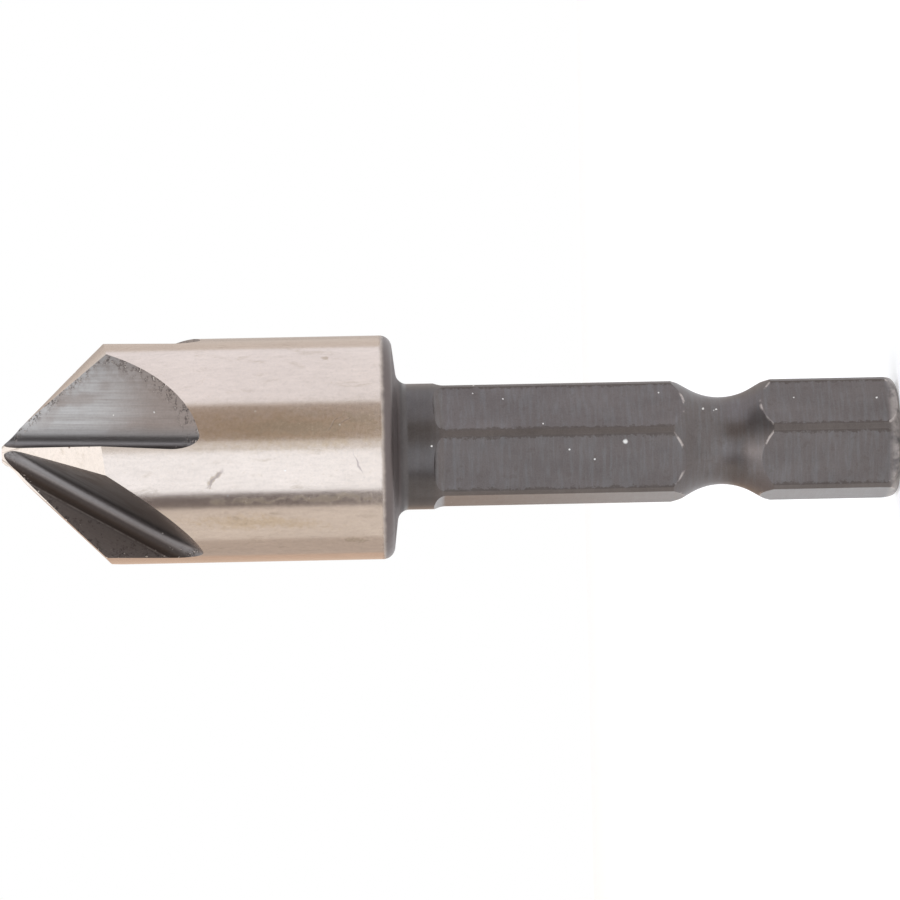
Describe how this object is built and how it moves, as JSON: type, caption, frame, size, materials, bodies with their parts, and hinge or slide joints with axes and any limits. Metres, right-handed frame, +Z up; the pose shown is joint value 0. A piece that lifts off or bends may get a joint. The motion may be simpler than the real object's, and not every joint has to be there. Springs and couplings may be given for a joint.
{
  "type": "countersink bit",
  "caption": "Fluted countersink bit with a ninety-degree conical cutting point, a bright ground head and a blackened hex shank with a detent groove for a quick-change driver.",
  "frame": {"origin": "in the middle of the shank's end face, on the surface the bit stands on", "axes": "+Z up along the bit from the shank end to the point, -Y straight out of one flat of the hex shank"},
  "size_m": [0.0126, 0.0126, 0.0508],
  "materials": {
    "tool_steel": "bright ground steel on the land and the cone, black oxide in the flutes, on the back face and on the shank"
  },
  "bodies": {
    "root": {"countersink_bit": "tool_steel"}
  },
  "joints": []
}
